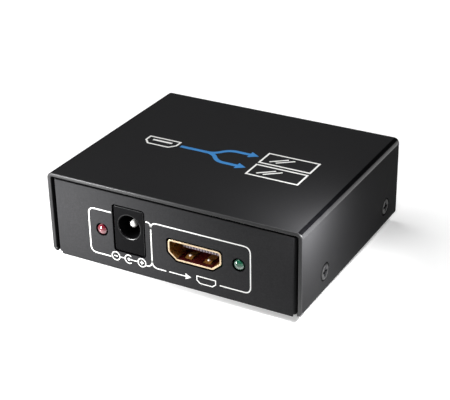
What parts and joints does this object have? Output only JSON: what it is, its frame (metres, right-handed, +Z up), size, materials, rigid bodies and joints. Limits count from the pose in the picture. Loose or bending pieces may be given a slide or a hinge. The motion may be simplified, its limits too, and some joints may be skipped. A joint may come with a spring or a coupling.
{
  "type": "video splitter",
  "caption": "Small folded-steel box with a power socket, lamps and a video socket in its front panel and more video sockets behind; copies one video signal to several screens.",
  "frame": {"origin": "on the ground under the centre of the case", "axes": "+Z up, +X to the right of the front panel, -Y out of the front panel"},
  "size_m": [0.071, 0.0594, 0.0245],
  "materials": {
    "case_paint": "satin black powder coat",
    "black_screw": "black oxide",
    "foot_rubber": "matt",
    "board_laminate": "green solder mask",
    "bright_steel": "bright plated",
    "jack_plastic": "fine texture",
    "bright_pin": "polished plate",
    "contact_strip": "plated strip",
    "red_lens": "clear tinted",
    "green_lens": "clear tinted",
    "tinned_lead": "tinned",
    "gold_plate": "gold plate",
    "insulator_plastic": "moulded",
    "contact_plate": "gold flash",
    "chip_plastic": "moulded",
    "can_aluminium": "satin",
    "ferrite": "sintered",
    "chip_ceramic": "sintered"
  },
  "bodies": {
    "unit": {"cover_shell": "case_paint", "base_tray": "case_paint", "case_screws": "black_screw", "rubber_feet": "foot_rubber", "circuit_board": "board_laminate", "board_standoffs": "bright_steel", "board_screws": "bright_steel", "dc_jack_housing": "jack_plastic", "dc_jack_centre_pin": "bright_pin", "dc_jack_sleeve_terminal": "contact_strip", "dc_jack_shunt_contact": "contact_strip", "power_lamp_lens": "red_lens", "power_lamp_leads": "tinned_lead", "input_lamp_lens": "green_lens", "input_lamp_leads": "tinned_lead", "output_1_lamp_lens": "green_lens", "output_1_lamp_leads": "tinned_lead", "output_2_lamp_lens": "green_lens", "output_2_lamp_leads": "tinned_lead", "input_shell": "gold_plate", "input_insulator": "insulator_plastic", "input_contacts": "contact_plate", "output_1_shell": "gold_plate", "output_1_insulator": "insulator_plastic", "output_1_contacts": "contact_plate", "output_2_shell": "gold_plate", "output_2_insulator": "insulator_plastic", "output_2_contacts": "contact_plate", "splitter_chip": "chip_plastic", "splitter_chip_leads": "tinned_lead", "controller_chip": "chip_plastic", "controller_chip_leads": "tinned_lead", "memory_chips": "chip_plastic", "memory_chip_leads": "tinned_lead", "voltage_regulators": "chip_plastic", "voltage_regulator_leads": "tinned_lead", "crystal_can": "bright_steel", "electrolytic_cans": "can_aluminium", "electrolytic_bases": "chip_plastic", "power_inductor": "ferrite", "surge_arrays": "chip_plastic", "chip_resistors": "chip_plastic", "chip_capacitors": "chip_ceramic"},
    "jack_spring": {"dc_jack_sleeve_spring": "contact_strip"},
    "input_upper_fingers": {"input_upper_springs": "gold_plate"},
    "input_lower_fingers": {"input_lower_springs": "gold_plate"},
    "output_1_upper_fingers": {"output_1_upper_springs": "gold_plate"},
    "output_1_lower_fingers": {"output_1_lower_springs": "gold_plate"},
    "output_2_upper_fingers": {"output_2_upper_springs": "gold_plate"},
    "output_2_lower_fingers": {"output_2_lower_springs": "gold_plate"}
  },
  "joints": [
    {"name": "jack_spring_flex", "type": "hinge", "parent": "unit", "child": "jack_spring", "pos_m": [-0.01185, -0.01667, 0.00975], "axis": [1, 0, 0], "range_deg": [0, 6], "stiffness_Nm_per_rad": 0.02},
    {"name": "input_upper_flex", "type": "hinge", "parent": "unit", "child": "input_upper_fingers", "pos_m": [0.00665, -0.02177, 0.01372], "axis": [-1, 0, 0], "range_deg": [0, 4], "stiffness_Nm_per_rad": 0.02},
    {"name": "input_lower_flex", "type": "hinge", "parent": "unit", "child": "input_lower_fingers", "pos_m": [0.00665, -0.02177, 0.00882], "axis": [1, 0, 0], "range_deg": [0, 4]},
    {"name": "output_1_upper_flex", "type": "hinge", "parent": "unit", "child": "output_1_upper_fingers", "pos_m": [0.01545, 0.02177, 0.01372], "axis": [1, 0, 0], "range_deg": [0, 4], "stiffness_Nm_per_rad": 0.02},
    {"name": "output_1_lower_flex", "type": "hinge", "parent": "unit", "child": "output_1_lower_fingers", "pos_m": [0.01545, 0.02177, 0.00882], "axis": [-1, 0, 0], "range_deg": [0, 4]},
    {"name": "output_2_upper_flex", "type": "hinge", "parent": "unit", "child": "output_2_upper_fingers", "pos_m": [-0.01215, 0.02177, 0.01372], "axis": [1, 0, 0], "range_deg": [0, 4], "stiffness_Nm_per_rad": 0.02},
    {"name": "output_2_lower_flex", "type": "hinge", "parent": "unit", "child": "output_2_lower_fingers", "pos_m": [-0.01215, 0.02177, 0.00882], "axis": [-1, 0, 0], "range_deg": [0, 4]}
  ],
  "couplings": [
    {"joint": "input_lower_flex", "follows": "input_upper_flex", "ratio": 1},
    {"joint": "output_1_lower_flex", "follows": "output_1_upper_flex", "ratio": 1},
    {"joint": "output_2_lower_flex", "follows": "output_2_upper_flex", "ratio": 1}
  ]
}
